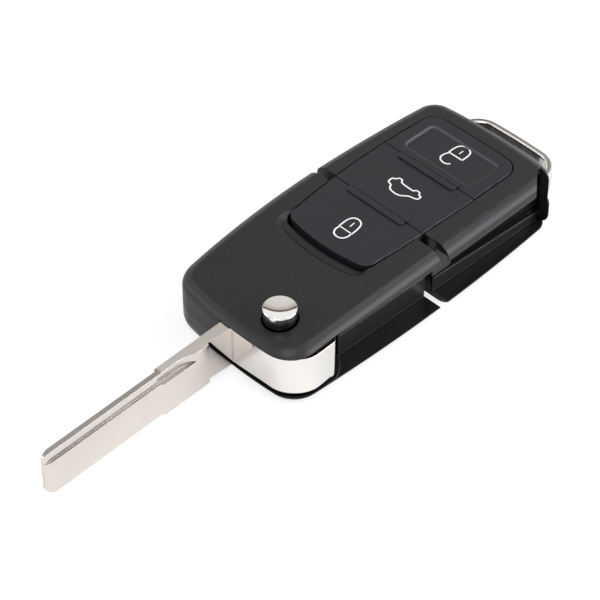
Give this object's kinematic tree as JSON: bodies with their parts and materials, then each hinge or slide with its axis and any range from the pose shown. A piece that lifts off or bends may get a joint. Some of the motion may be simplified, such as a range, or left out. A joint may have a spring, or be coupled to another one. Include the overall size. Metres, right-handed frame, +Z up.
{
  "type": "folding key shell",
  "caption": "Folding car key shell with its blade out: bright flip head and release button, uncut steel blade, flush function buttons and a bow for a key ring.",
  "frame": {"origin": "on the flat underside of the body, at the foot of the flip pivot's axis", "axes": "+X along the body towards the open blade's tip, which stands 2 degrees off it as in the picture, +Y towards the side with the blade slot, +Z up out of the button face"},
  "size_m": [0.1276, 0.0363, 0.0163],
  "materials": {
    "shell_black": "satin black moulding",
    "button_black": "satin black moulding with printed signs",
    "bright_plating": "bright plating",
    "blade_steel": "milled, nickel plated",
    "fixing_steel": "zinc plated",
    "inner_plastic": "plain black moulding",
    "silicone": "matt silicone"
  },
  "bodies": {
    "housing": {"front_cover": "shell_black", "front_base": "shell_black", "rear_cover": "shell_black", "rear_base": "shell_black", "spring_seat": "inner_plastic", "front_screw": "fixing_steel", "keypad_mat": "silicone", "keypad_frame": "inner_plastic", "ring_bow": "bright_plating", "ring_pins": "fixing_steel"},
    "flip": {"flip_head": "bright_plating", "key_blade": "blade_steel", "blade_pin": "fixing_steel", "flip_spring": "fixing_steel"},
    "release": {"release_button": "bright_plating"},
    "lock": {"lock_button": "button_black"},
    "boot": {"boot_button": "button_black"},
    "unlock": {"unlock_button": "button_black"}
  },
  "joints": [
    {"name": "blade_flip", "type": "hinge", "parent": "housing", "child": "flip", "pos_m": [0, 0, 0], "axis": [0, 0, 1], "range_deg": [0, 178], "stiffness_Nm_per_rad": 0.005, "springref_deg": -34.38},
    {"name": "release_press", "type": "slide", "parent": "flip", "child": "release", "axis": [0, 0, -1], "range_m": [0, 0.0018], "stiffness_N_per_m": 800, "springref_m": -0.002, "deforming": ["flip_spring"]},
    {"name": "lock_press", "type": "slide", "parent": "housing", "child": "lock", "axis": [0, 0, -1], "range_m": [0, 0.0004], "stiffness_N_per_m": 2500, "springref_m": -0.0003},
    {"name": "boot_press", "type": "slide", "parent": "housing", "child": "boot", "axis": [0, 0, -1], "range_m": [0, 0.0004], "stiffness_N_per_m": 2500, "springref_m": -0.0003},
    {"name": "unlock_press", "type": "slide", "parent": "housing", "child": "unlock", "axis": [0, 0, -1], "range_m": [0, 0.0004], "stiffness_N_per_m": 2500, "springref_m": -0.0003}
  ]
}
